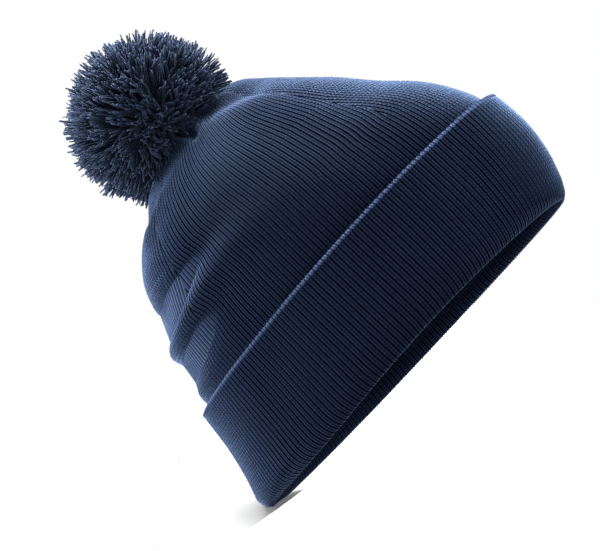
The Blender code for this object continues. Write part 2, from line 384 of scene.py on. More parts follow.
@dataclass
class Outline:
    """A tube's outer face, through sections listed from the foot up.

    Each row of `sections` is a height, a reach forwards, a reach rearwards, a half width and the
    lift of the section at the front, in millimetres.
    """

    sections: Array

    @property
    def last(self) -> float:
        """The highest section number."""
        return float(len(self.sections) - 1)

    def at(self, angle: Array, place: Array) -> Array:
        """Points of the face.

        Args:
            angle: Angles round the head.
            place: Fractional section numbers, of the same shape.

        Returns:
            Points in metres, in a new last axis.
        """
        z, front, rear, half_width, lift = np.moveaxis(smooth_table(self.sections, place), -1, 0)
        reach, centre = (front + rear) / 2, (rear - front) / 2
        side, ahead = np.sin(angle), np.cos(angle)
        return np.stack([half_width * side, centre - reach * ahead, z + lift * ahead], -1) * MM

    def rise(self, angle: Array, place: Array) -> Array:
        """Short steps along the face towards its top."""
        low, high = np.clip(place - NUDGE, 0, self.last), np.clip(place + NUDGE, 0, self.last)
        return self.at(angle, high) - self.at(angle, low)

    def normal(self, angle: Array, place: Array) -> Array:
        """Outward directions at points of the face."""
        round_ = self.at(angle + NUDGE, place) - self.at(angle - NUDGE, place)
        return unit(np.cross(round_, self.rise(angle, place)))

    def uphill(self, angle: Array, place: Array) -> Array:
        """Directions along the face towards its top."""
        return unit(self.rise(angle, place))

    def climbing_lines(self, angle: Array, start: float, places: Array) -> Array:
        """Lines that climb square to the courses, as unsheared ribs do.

        Args:
            angle: Angles of the lines at `start`.
            start: The section number where the lines are known.
            places: Section numbers to read them at.

        Returns:
            Angles, one row for each of `places`.
        """
        step = 0.01
        ladder = np.arange(0, self.last + step / 2, step)
        first = int(round(start / step))
        table = np.zeros((len(ladder), len(angle)))
        table[first] = angle
        for way, stop in ((1, len(ladder) - 1), (-1, 0)):
            for k in range(first, stop, way):
                now, place = table[k], np.full(len(angle), ladder[k])
                along = (self.at(now + step, place) - self.at(now - step, place)) / (2 * step)
                near = np.clip(place + way * step, 0, self.last)
                rise = (self.at(now, near) - self.at(now, place)) / (way * step)
                turn = -np.sum(rise * along, -1) / np.maximum(np.sum(along**2, -1), 1e-10)
                table[k + way] = now + way * step * turn
        row = np.clip(places / step, 0, len(ladder) - 1.001)
        low = np.floor(row).astype(int)
        share = (row - low)[:, None]
        return table[low] * (1 - share) + table[low + 1] * share

    def place_of_height(self, height: Array) -> Array:
        """Section numbers at heights in millimetres, where the face rises steadily."""
        places = np.linspace(0, self.last, 2001)
        heights = smooth_table(self.sections, places)[:, 0]
        top = int(np.argmax(heights))
        return np.interp(height, heights[: top + 1], places[: top + 1])

    def place_of_length(self, start: float, lengths: Array) -> Array:
        """Section numbers at lengths in millimetres along the side of the face from `start`."""
        places = np.linspace(start, self.last, 3001)
        side = self.at(np.full(len(places), RIGHT_SIDE), places)
        run = running_sum(np.linalg.norm(np.diff(side, axis=0), axis=1)) / MM
        return np.interp(lengths, run, places)

    def side_length(self, start: float, end: float) -> float:
        """Millimetres along the side of the face between two section numbers."""
        side = self.at(np.full(2001, RIGHT_SIDE), np.linspace(start, end, 2001))
        return float(np.linalg.norm(np.diff(side, axis=0), axis=1).sum() / MM)


@dataclass
class RibCount:
    """How the ribs are shared out round the head."""

    ribs: int = 196
    stretch: float = 0.08  # ribs spread more over the forehead
    phases: tuple[float, ...] = (-0.5, -0.38, -0.21, 0.0, 0.21, 0.38)

    def counts(self) -> Array:
        """Rib numbers of a full turn of columns, where a half is a valley, with the first repeated."""
        steps = [rib + 0.5 + phase for rib in range(self.ribs) for phase in self.phases]
        return np.array([*steps, float(self.ribs)])

    def angles(self, outline: Outline, place: float, counts: Array) -> Array:
        """Angles at which ribs fall, evenly along the cloth but for the stretch."""
        fine = np.linspace(0, TURN, 7201)
        points = outline.at(fine, np.full_like(fine, place))
        step = np.linalg.norm(np.diff(points, axis=0), axis=1)
        middle = (fine[1:] + fine[:-1]) / 2
        run = running_sum(step * (1 - self.stretch * np.cos(middle)))
        return np.interp(counts / self.ribs, run / run[-1], fine)


SUNK_SHARE = 0.8  # the share of a rib's height that lies below the outline


def rib_across(counts: Array) -> Array:
    """How far a point is from the middle of its rib, 0, to the valley, 1."""
    return np.abs(counts - np.floor(counts) - 0.5) * 2


def rib_relief(counts: Array) -> Array:
    """Height of a rib's two cords, which are the legs of its stitches: 0 in the valley, 1 on top."""
    return np.interp(rib_across(counts), (0, 0.2, 0.42, 0.66, 0.8, 1), (0.42, 0.76, 1.0, 0.8, 0.42, 0))


@dataclass
class Cloth:
    """A grid of knitted cloth, closed round the head and through its own thickness."""

    name: str
    columns: int
    rows: int
    rims: tuple[int, ...] = ()  # rows where the shading breaks, at the cloth's cut edges

    def build(self, points: Array, stitches: Array) -> bpy.types.Object:
        """Make the closed mesh.

        Args:
            points: Places of the grid's points, rows by columns, the last of each the first again.
            stitches: Rib and course numbers of the same points.

        Returns:
            The new piece, with its stitches in a UV map.
        """
        bpy.ops.object.select_all(action="DESELECT")
        bpy.ops.mesh.primitive_grid_add(x_subdivisions=self.columns, y_subdivisions=self.rows, size=1)
        piece = bpy.context.object
        piece.name = piece.data.name = self.name
        mesh = piece.data
        flat = np.zeros(len(mesh.vertices) * 3, np.float32)
        mesh.vertices.foreach_get("co", flat)
        flat = flat.reshape(-1, 3)
        column = np.rint((flat[:, 0] + 0.5) * self.columns).astype(int)
        row = np.rint((flat[:, 1] + 0.5) * self.rows).astype(int)
        mesh.vertices.foreach_set("co", points[row, column].astype(np.float32).ravel())
        edges = np.zeros(len(mesh.edges) * 2, np.int32)
        mesh.edges.foreach_get("vertices", edges)
        ends = row[edges.reshape(-1, 2)]
        breaks = (ends[:, 0] == ends[:, 1]) & np.isin(ends[:, 0], self.rims)
        corners = np.zeros(len(mesh.loops), np.int32)
        mesh.loops.foreach_get("vertex_index", corners)
        chart = mesh.uv_layers[0]
        chart.name = "stitches"
        chart.data.foreach_set("uv", stitches[row, column][corners].astype(np.float32).ravel())
        mesh.shade_smooth()
        sharp = mesh.attributes.new("sharp_edge", "BOOLEAN", "EDGE")
        sharp.data.foreach_set("value", breaks)
        mesh.update()
        bpy.ops.object.mode_set(mode="EDIT")
        bpy.ops.mesh.select_all(action="SELECT")
        bpy.ops.mesh.remove_doubles(threshold=0.004 * MM)
        bpy.ops.mesh.dissolve_degenerate(threshold=0.002 * MM)
        bpy.ops.mesh.select_all(action="SELECT")
        bpy.ops.mesh.normals_make_consistent(inside=False)
        bpy.ops.object.mode_set(mode="OBJECT")
        return piece


@dataclass
class Slouch:
    """Soft folds across the back of the crown, which fade towards the forehead.

    Each fold is a height at the back, a width and a depth in millimetres, and how fast it fades towards
    the sides; a negative depth sinks.
    """

    folds: tuple[tuple[float, float, float, float], ...] = (
        (63, 4.5, 1.2, 2.2),
        (75, 5.0, -1.2, 2.2),
        (86, 5.4, 2.2, 3.0),
        (98.0, 5.4, -7.2, 6.0),
        (99.0, 6.5, -1.6, 1.8),
        (119, 8.0, 0.6, 2.2),
        (141, 5.5, -3.4, 2.6),
    )
    climb: float = 6.0  # the folds rise towards the sides
    narrowing: float = 0.80  # less than 1 carries the folds further round the sides
    waver: float = 2.4  # how far the folds rise and fall on their way round

    def depth(self, angle: Array, height: Array) -> Array:
        """Millimetres by which the cloth stands proud at angles and heights."""
        from_rear = np.abs(wrapped(angle - math.pi))
        strength = np.clip(np.cos(self.narrowing * from_rear), 0, 1)
        strength = np.where(from_rear > math.pi / 2 / self.narrowing, 0, strength)
        side = np.sin(np.clip(from_rear, 0, math.pi / 2)) ** 2
        rear = math.sin(3 * math.pi + 0.6)
        wave = self.waver * (np.sin(3 * angle + 0.6) - rear)
        level = height - self.climb * side - self.waver / 2 * rear - wave
        total = np.zeros(np.broadcast(angle, height).shape)
        for middle, width, rise, fade in self.folds:
            uneven = 1 + 0.4 * (np.sin(4 * angle + middle) - math.sin(middle))
            total = total + rise * uneven * hump(level, middle, width) * strength**fade
        return total


@dataclass(frozen=True)
class Pleat:
    """A soft ridge or hollow on one side of the crown, between two places given forward and up.

    Lengths are in millimetres; a negative rise sinks. The side is -1 for the wearer's right and 1 for
    the left.
    """

    start: tuple[float, float]
    end: tuple[float, float]
    width: float
    rise: float
    side: int = -1

    def depth(self, across: Array, ahead: Array, height: Array) -> Array:
        """Millimetres by which the cloth stands proud."""
        (f0, z0), (f1, z1) = self.start, self.end
        run_f, run_z = f1 - f0, z1 - z0
        t = np.clip(((ahead - f0) * run_f + (height - z0) * run_z) / (run_f**2 + run_z**2), 0, 1)
        away = np.hypot(ahead - f0 - t * run_f, height - z0 - t * run_z) / self.width
        return self.rise * np.exp(-(away**2)) * smooth_step(2, 20, self.side * across)


PLEATS = (
    Pleat((6, 147), (52, 129), 7.0, 1.0),
    Pleat((14, 153), (38, 145), 5.5, -2.8),
    Pleat((-3, 158), (1, 148.5), 2.6, -3.2),
    Pleat((-44, 138), (-26, 149), 2.8, -1.8),
    Pleat((-50, 130), (-32, 142), 3.0, 1.2),
    Pleat((12, 154), (38, 143), 5.5, -2.6, 1),
    Pleat((2, 149), (36, 135), 4.5, 1.3, 1),
    Pleat((-8, 157), (-5, 148), 2.8, -2.6, 1),
    Pleat((-46, 136), (-30, 147), 3.0, -1.6, 1),
)


@dataclass
class Crown:
    """The crown: an outer ply in two pieces, its lining, and the four darts that shape it."""

    outline: Outline
    ribs: RibCount
    slouch: Slouch
    knit: bpy.types.Material
    lining_knit: bpy.types.Material
    rib_height: float = 1.35
    course: float = 1.8
    ply: float = 2.0
    ply_step: float = 2.4
    foot: float = 8.0  # the outer ply starts at this height, behind the cuff
    seen_from: float = 50.0
    split: float = 112.0  # the height where the outer ply's two pieces meet
    peak: float = 159.0  # above this height the cloth turns in to the gathered end
    even_at: float = 2.0  # ribs are spaced evenly at this section
    pleat_origin: float = 5.1  # pleats are measured forwards from this far behind the origin
    dart_depth: float = 0.8
    dart_width: float = 0.07  # as a share of the way from a panel's middle to its dart
    zigzag: float = 0.30  # how far the middle of a stitch lies below its ends, in courses
    bead: float = 0.07
    kept_ribs: tuple[tuple[float, float], ...] = (  # heights, and the share of the ribs left there
        (0, 1),
        (84, 1),
        (98, 0.95),
        (112, 0.88),
        (130, 0.85),
        (148, 0.78),
        (159.4, 0.66),
    )
    gather_from: tuple[float, float] = (80.0, 116.0)  # heights where the ribs cease to climb straight

    def kept(self, place: Array) -> Array:
        """Share of the ribs that the darts have left at section numbers."""
        heights = smooth_table(self.outline.sections, place)[..., 0]
        top_place = float(self.outline.place_of_height(np.array(self.peak)))
        limits, shares = np.array(self.kept_ribs).T
        return np.where(place > top_place, shares[-1], np.interp(heights, limits, shares))

    def eased(self, place: Array) -> Array:
        """Section numbers that stop growing where the ribs cease to climb straight and draw together."""
        fine = np.linspace(0, self.outline.last, 600)
        heights = smooth_table(self.outline.sections, fine)[..., 0]
        speed = 1 - smooth_step(*self.gather_from, heights)
        beyond = np.argmax(speed <= 0) if np.any(speed <= 0) else len(fine)
        speed[beyond:] = 0
        slow = running_sum((speed[1:] + speed[:-1]) / 2 * np.diff(fine))
        return np.interp(place, fine, slow)

    def lay(self, counts: Array, place: Array) -> tuple[Array, Array, Array]:
        """Lay ribs over the crown.

        Args:
            counts: Rib numbers of the columns.
            place: Section numbers of the rows.

        Returns:
            Angles, the rib numbers left after the darts, and the nearness to a dart from 0 to 1.
        """
        quarter = self.ribs.ribs / 4
        spread = np.linspace(0, self.ribs.ribs, 4 * self.ribs.ribs + 1)
        evenly = self.ribs.angles(self.outline, self.even_at, spread)
        lines = self.outline.climbing_lines(evenly, self.even_at, self.eased(place))
        middle = np.round(counts / quarter) * quarter
        kept = self.kept(place)[:, None]
        offset = (counts - middle)[None, :]
        share = np.clip(offset / (quarter / 2 * kept), -1, 1)
        number = middle[None, :] + share * quarter / 2 * kept
        home = np.mod(middle[None, :] + share * quarter / 2, self.ribs.ribs)
        turn = np.floor((middle[None, :] + share * quarter / 2) / self.ribs.ribs)
        angle = np.stack([np.interp(home[k], spread, lines[k]) + turn[k] * TURN for k in range(len(place))])
        cut = smooth_step(0.02, 0.2, 1 - kept)
        return angle, number, hump(1 - np.abs(share), 0, self.dart_width) * cut

    def face(
        self, angle: Array, number: Array, near: Array, place: Array, depth: Array, proud: Array, beads: Array
    ) -> Array:
        """Points of a ply at given depths, with its ribs, stitches, folds and darts."""
        rows = np.broadcast_to(place[:, None], angle.shape)
        on = self.outline.at(angle, rows)
        out = self.outline.normal(angle, rows)
        height = on[..., 2] / MM
        relief = (rib_relief(number) - SUNK_SHARE) * self.rib_height * proud[:, None]
        relief = relief * np.clip(self.kept(place) * 1.25, 0.6, 1)[:, None] + beads[:, None] * self.bead
        ahead = self.pleat_origin - on[..., 1] / MM
        pleats = sum(pleat.depth(on[..., 0] / MM, ahead, height) for pleat in PLEATS)
        move = self.slouch.depth(angle, height) + pleats + relief - near * self.dart_depth - depth[:, None]
        slant = (rib_across(number) * 2 - 1) * self.zigzag * self.course * np.abs(proud)[:, None]
        up = self.outline.uphill(angle, rows)
        return on + out * (move * MM)[..., None] + up * (slant * MM)[..., None]

    def ply_piece(
        self, name: str, outer: Array, inner: Array, courses: Array, depth: float, inward: bool, counts: Array
    ) -> bpy.types.Object:
        """Make one closed ply from its fine rows on one face and its coarse rows on the other."""
        place = np.concatenate([outer, inner[::-1], outer[:1]])
        fine_depth = depth + (self.ply if inward else 0.0)
        back_depth = depth + (0.0 if inward else self.ply)
        near_rows = np.ones(len(outer))
        depths = np.concatenate([near_rows * fine_depth, np.full(len(inner), back_depth), [fine_depth]])
        sign = -1.0 if inward else 1.0
        proud = np.concatenate([near_rows * sign, np.zeros(len(inner)), [sign]])
        angle, number, near = self.lay(counts, place)
        rows = np.arange(len(outer))
        from_rim = np.minimum(rows, len(outer) - 1 - rows)
        wave = np.cos(TURN * courses) * smooth_step(0.5, 4.5, from_rim)
        beads = np.concatenate([wave, np.zeros(len(inner)), wave[:1]])
        points = self.face(angle, number, near, place, depths, proud, beads)
        course = np.concatenate([courses, np.full(len(inner), courses[-1]), courses[:1]])
        stitches = np.stack([number, np.broadcast_to(course[:, None], number.shape)], -1)
        rims = (0, len(outer) - 1, len(outer), len(place) - 2, len(place) - 1)
        cloth = Cloth(name, len(counts) - 1, len(place) - 1, rims)
        return cloth.build(points, stitches)

    def rows(self, start: float, end: float, per_course: int) -> Array:
        """Section numbers of evenly spaced rows up the side, between two section numbers."""
        run = self.outline.side_length(start, end)
        count = int(round(run / self.course)) * per_course
        return self.outline.place_of_length(start, np.linspace(0, run, count + 1))

    def build(self) -> list[bpy.types.Object]:
        """Make the outer ply's lower and upper pieces and the lining."""
        counts = self.ribs.counts()
        start = float(self.outline.place_of_height(np.array(self.seen_from)))
        split = float(self.outline.place_of_height(np.array(self.split)))
        foot = float(self.outline.place_of_height(np.array(self.foot)))
        low = self.rows(start, split, 2)
        low_place = np.concatenate([[foot, (foot + start) / 2], low])
        low_course = np.concatenate([[-20.0, -10.0], np.arange(len(low)) / 2])
        low_back = np.linspace(foot, split, 5)
        lower = self.ply_piece("crown_lower_knit", low_place, low_back, low_course, 0.0, False, counts)
        high = self.rows(split, self.outline.last, 2)
        high_course = low_course[-1] + np.arange(len(high)) / 2
        high_back = np.linspace(split, self.outline.last, 8)
        upper = self.ply_piece("crown_upper_knit", high, high_back, high_course, 0.0, False, counts)
        coarse = RibCount(self.ribs.ribs, self.ribs.stretch, (-0.5, -0.25, 0.0, 0.25)).counts()
        inside = self.rows(foot, self.outline.last, 1)
        course = np.arange(len(inside), dtype=float)
        back = np.linspace(foot, self.outline.last, 9)
        lining = self.ply_piece("crown_lining_knit", inside, back, course, self.ply_step, True, coarse)
        for piece in (lower, upper):
            piece.data.materials.append(self.knit)
        lining.data.materials.append(self.lining_knit)
        for piece in (lower, upper, lining):
            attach(piece, "hat")
        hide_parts("crown_outer_ply")
        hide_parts("crown_lining_ply")
        return [lower, upper, lining]


@dataclass
class Cuff:
    """The turned-up cuff: its face, the rolled hem on top, its back, and the fold at the brim."""

    outline: Outline
    ribs: RibCount
    knit: bpy.types.Material
    top: float = 54.5
    lift: float = 2.8
    hem_radius: float = 2.4
    rib_height: float = 1.35
    course: float = 1.66
    zigzag: float = 0.30
    bead: float = 0.07
    fold_radius: float = 5.0
    fold_height: float = 9.0
    wall: float = 9.2
    start: float = 1.0  # ribs are spaced evenly at this section
    arch: float = 1.3  # the brim rises a little at the sides, more towards the front
    droop: float = 2.6  # and hangs lower on the wearer's right, behind the ear
    droop_at: float = 4.05  # its angle and its width, in radians
    droop_width: float = 0.55
    fold_rows: int = 10

    def level(self, angle: Array, height: Array) -> Array:
        """Heights above the floor of points at heights on the cloth."""
        full = np.broadcast_to(height, angle.shape)
        side = np.sin(angle) ** 2 * (1 + 0.5 * np.cos(angle))
        rise = self.arch * side * (1 - 0.6 * smooth_step(10, self.top, full))
        behind_ear = hump(wrapped(angle - self.droop_at), 0, self.droop_width)
        rise -= self.droop * behind_ear * (1 - smooth_step(6, self.top, full))
        return full + self.lift * np.cos(angle) * smooth_step(10, self.top, full) + rise

    def lay(self, counts: Array, height: Array) -> Array:
        """Angles of the ribs, which climb square to the brim, rows by columns."""
        places = self.outline.place_of_height(height)
        evenly = self.ribs.angles(self.outline, self.start, counts)
        return self.outline.climbing_lines(evenly, self.start, places)

    def place(
        self, angle: Array, depth: Array, height: Array, proud: Array, number: Array, beads: Array
    ) -> Array:
        """Points at depths and heights, with ribs that stand out along `proud` directions."""
        level = self.level(angle, height)
        section = self.outline.place_of_height(np.clip(level, 0, None))
        on = self.outline.at(angle, section)
        out = self.outline.normal(angle, section)
        out[..., 2] = 0
        out = unit(out)
        soft = 0.35 * np.sin(5 * angle + level * 0.06) + 0.25 * np.sin(11 * angle - level * 0.09 + 1)
        relief = (rib_relief(number) - SUNK_SHARE) * self.rib_height + beads * self.bead
        slant = (rib_across(number) * 2 - 1) * self.zigzag * self.course * np.abs(proud[..., 0]) ** 3
        sideways = -depth + relief * proud[..., 0] + soft * smooth_step(0, 30, level)
        moved = on + out * (sideways * MM)[..., None]
        moved[..., 2] = (level + relief * proud[..., 1] + slant) * MM
        return moved

    def loop(self) -> tuple[Array, Array]:
        """Rows of the cuff's closed profile, and their course numbers.

        Returns:
            Depth, height and rib direction of each row, and the courses counted from the fold's top.
        """
        rows = []
        for a in np.linspace(math.pi / 2, 0, self.fold_rows + 1)[:-1]:
            flat = 1 - 0.92 * math.sin(a) ** 1.2
            depth, height = self.fold_radius * (1 - math.cos(a)), self.fold_height * (1 - math.sin(a))
            rows.append((depth, height, flat * math.cos(a), -flat * math.sin(a)))
        steps = int(round((self.top - self.fold_height) / self.course)) * 2
        rows += [(0.0, z, 1.0, 0.0) for z in np.linspace(self.fold_height, self.top, steps + 1)]
        for a in np.linspace(0, math.pi, 9)[1:]:
            flat = 1 - 0.6 * math.sin(a) ** 2
            depth = self.hem_radius * (1 - math.cos(a))
            height = self.top + self.hem_radius * 1.05 * math.sin(a)
            rows.append((depth, height, flat * math.cos(a), flat * math.sin(a)))
        back = self.hem_radius * 2
        rows += [(back, z, 0.0, 0.0) for z in (self.top * 0.66, self.top * 0.33, self.fold_radius)]
        rows.append((self.fold_radius, self.fold_radius * 0.4, 0.0, 0.0))
        rows.append(rows[0])
        table = np.array(rows)
        run = running_sum(np.hypot(np.diff(table[:, 0]), np.diff(table[:, 1])))
        return table, (run - run[self.fold_rows]) / self.course

    def cloth(self, name: str, table: Array, course: Array) -> bpy.types.Object:
        """Make a closed ring of cloth from the rows of its profile."""
        counts = self.ribs.counts()
        angle = self.lay(counts, table[:, 1])
        number = np.broadcast_to(counts, angle.shape)
        directions = np.broadcast_to(table[:, None, 2:4], (*angle.shape, 2))
        beads = np.cos(TURN * course)[:, None] * np.ones_like(angle)
        points = self.place(angle, table[:, :1], table[:, 1:2], directions, number, beads)
        stitches = np.stack([number, np.broadcast_to(course[:, None], number.shape)], -1)
        return Cloth(name, len(counts) - 1, len(table) - 1).build(points, stitches)

    def build(self) -> bpy.types.Object:
        """Make the cuff as one closed piece."""
        cuff = self.cloth("cuff_knit", *self.loop())
        cuff.data.materials.append(self.knit)
        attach(cuff, "hat")
        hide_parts("cuff_face_ply", "cuff_back_ply")
        return cuff


@dataclass
class EdgeCord:
    """A line of small looped stitches that stands out along an edge of the cuff."""

    name: str
    cuff: Cuff
    yarn: bpy.types.Material
    depth: float
    height: float
    radius: float
    loops: float = 1.0  # loops to a rib
    swell: float = 0.30
    sides: int = 8
    slip: float = 0.4  # how far the loops stray up and down, in radii

    def build(self) -> bpy.types.Object:
        """Make the cord as a closed ring."""
        cuff = self.cuff
        steps = cuff.ribs.ribs * 10
        counts = np.linspace(0, cuff.ribs.ribs, steps + 1)
        around = np.linspace(0, TURN, self.sides + 1)
        swell = 1 + self.swell * np.cos(TURN * counts * self.loops)
        slip = self.slip * np.sin(TURN * counts * self.loops)
        heights = np.full(self.sides + 1, self.height)
        angle = cuff.lay(counts, heights)
        depth = self.depth - self.radius * np.cos(around)[:, None] * swell
        height = self.height + self.radius * (np.sin(around)[:, None] * swell + slip)
        level = cuff.level(angle, np.broadcast_to(np.array(self.height), angle.shape)) - self.height
        still = np.zeros((*angle.shape, 2))
        base = np.full_like(angle, 0.5)
        points = cuff.place(angle, depth, heights[:, None], still, base, np.zeros_like(angle))
        points[..., 2] = (level + height) * MM
        stitches = np.stack([np.broadcast_to(counts, angle.shape), np.full_like(angle, 0.0)], -1)
        cord = Cloth(self.name, steps, self.sides).build(points, stitches)
        cord.data.materials.append(self.yarn)
        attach(cord, "hat")
        return cord


@dataclass
class BrimFold:
    """The inner half of the fold at the brim, where the lining comes up inside."""

    cuff: Cuff
    knit: bpy.types.Material
    seen_to: float = 26.0

    def build(self) -> bpy.types.Object:
        """Make the fold as one closed piece that ends inside the crown's foot."""
        cuff = self.cuff
        radius, wall = cuff.fold_radius, cuff.wall
        rows = []
        for a in np.linspace(math.pi / 2, 0, 6)[:-1]:
            flat = 0.45 - 0.40 * math.sin(a)
            depth = wall - (wall - radius) * (1 - math.cos(a))
            rows.append((depth, radius * (1 - math.sin(a)), -flat * math.cos(a), -flat * math.sin(a)))
        steps = int(round((self.seen_to - radius) / cuff.course)) * 2
        rows += [(wall, z, -0.7, 0.0) for z in np.linspace(radius, self.seen_to, steps + 1)]
        rows += [(wall - 1.6, z, 0.0, 0.0) for z in (self.seen_to, radius)]
        rows.append((wall - 3.0, radius * 0.4, 0.0, 0.0))
        rows.append(rows[0])
        table = np.array(rows)
        run = running_sum(np.hypot(np.diff(table[:, 0]), np.diff(table[:, 1])))
        fold = cuff.cloth("brim_fold_knit", table, run / cuff.course)
        fold.data.materials.append(self.knit)
        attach(fold, "hat")
        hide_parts("brim_outer_fold", "brim_inner_fold")
        return fold


# The pom-pom
# -----------


@dataclass
class PomPom:
    """A ball of cut yarn, tied at its waist and trimmed round."""

    yarn: bpy.types.Material
    centre: Vector
    gather: Vector
    radius: float
    strands: int = 4000
    sides: int = 4
    steps: int = 6
    thickness: float = 0.58 * MM
    tufts: int = 210
    seed: int = 7

    def directions(self, random: np.random.Generator) -> Array:
        """Directions spread evenly over the ball, then jittered."""
        index = np.arange(self.strands) + 0.5
        height = 1 - 2 * index / self.strands
        turn = math.pi * (1 + math.sqrt(5)) * index
        flat = np.sqrt(1 - height**2)
        even = np.stack([flat * np.cos(turn), flat * np.sin(turn), height], -1)
        return unit(even + random.normal(0, 0.05, even.shape))

    def paths(self, random: np.random.Generator) -> Array:
        """Points along each strand, strands by steps."""
        ways = self.directions(random)
        lean = random.normal(0, 1, (self.tufts, 3))
        tuft = unit(random.normal(0, 1, (self.tufts, 3)))
        nearest = np.argmax(ways @ tuft.T, axis=1)
        bend = lean[nearest] * 0.05 + (tuft[nearest] - ways) * 0.30 + random.normal(0, 0.075, ways.shape)
        bend -= ways * np.sum(bend * ways, -1, keepdims=True)
        even = random.normal(0, 0.028, self.strands) + random.normal(0, 0.022, self.tufts)[nearest]
        reach = self.radius * (1.025 + even)
        t = np.linspace(0, 1, self.steps)
        out = 0.30 + 0.70 * t
        curl = (t**2)[None, :, None] * bend[:, None, :]
        sway = np.sin(t * math.pi)[None, :, None] * random.normal(0, 0.018, (self.strands, 1, 3))
        shape = unit(ways[:, None, :] + curl + sway) * out[None, :, None]
        ends = np.array(self.centre)[None, None, :] + shape * reach[:, None, None]
        start = np.array(self.gather)[None, None, :]
        pull = ((1 - t) ** 1.5)[None, :, None]
        return ends * (1 - pull * 0.6) + (start + shape * 0.3 * self.radius) * pull * 0.6

    def build(self) -> bpy.types.Object:
        """Make all strands as one piece."""
        random = np.random.default_rng(self.seed)
        paths = self.paths(random)
        count, steps, sides = self.strands, self.steps, self.sides
        along = unit(np.gradient(paths, axis=1))
        helper = unit(random.normal(0, 1, (count, 1, 3)))
        across = unit(np.cross(along, helper))
        up = np.cross(along, across)
        t = np.linspace(0, 1, steps)
        profile = np.interp(t, [0, 0.4, 0.9, 1], [0.8, 1.0, 1.0, 0.72]) * self.thickness
        size = random.uniform(0.7, 1.25, (count, 1, 1))
        rings = []
        for side in range(sides):
            angle = TURN * side / sides
            arm = across * math.cos(angle) + up * math.sin(angle)
            rings.append(paths + arm * profile[None, :, None] * size)
        points = np.stack(rings, 2).reshape(-1, 3)
        strand = np.arange(count)[:, None, None] * steps * sides
        ring = np.arange(steps - 1)[None, :, None] * sides
        side = np.arange(sides)[None, None, :]
        after = (side + 1) % sides
        low = strand + ring
        corners = [low + side, low + after, low + sides + after, low + sides + side]
        quads = np.stack(corners, -1).reshape(-1, 4)
        first = np.arange(count)[:, None] * steps * sides
        caps = np.concatenate(
            [first + np.arange(sides)[None, ::-1], first + (steps - 1) * sides + np.arange(sides)[None, :]]
        )
        mesh = bpy.data.meshes.new("pom_yarn_strands")
        mesh.from_pydata(points.tolist(), [], quads.tolist() + caps.tolist())
        self.mark(mesh, "along", np.broadcast_to(t[None, :, None], (count, steps, sides)))
        # Each strand's random share of the painted highlight on its tip.
        shade = np.broadcast_to(random.uniform(0.1, 1.0, (count, 1, 1)), (count, steps, sides))
        self.mark(mesh, "shade", shade)
        ball = bpy.data.objects.new("pom_yarn_strands", mesh)
        bpy.context.scene.collection.objects.link(ball)
        mesh.shade_smooth()
        ball.data.materials.append(self.yarn)
        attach(ball, "pom")
        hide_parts("pom_yarn")
        return ball

    @staticmethod
    def mark(mesh: bpy.types.Mesh, name: str, values: Array) -> None:
        """Store a number on each point."""
        attribute = mesh.attributes.new(name, "FLOAT", "POINT")
        attribute.data.foreach_set("value", np.ascontiguousarray(values, np.float32).ravel())


# Studio
# ------


class Lamp(Enum):
    """The studio's lamps: a name, energy, size in metres, and place by the view's right, up and front."""

    KEY = ("key", 104.0, 0.8, (-0.42, 1.0, -0.37))
    REAR_RIM = ("rear_rim", 30.0, 0.7, (-1.0, -0.05, -0.30))
    FRONT_RIM = ("front_rim", 46.0, 0.7, (1.0, 0.15, -0.36))
    FRONT_SOFT = ("front_soft", 130.0, 0.7, (1.0, 0.40, 0.12))
    REAR_SOFT = ("rear_soft", 20.0, 0.7, (-1.0, 0.05, 0.10))
    UNDER = ("under", 60.0, 0.8, (0.35, -1.0, 0.28))
    FILL = ("fill", 3.0, 1.4, (-0.2, 0.4, 1.0))


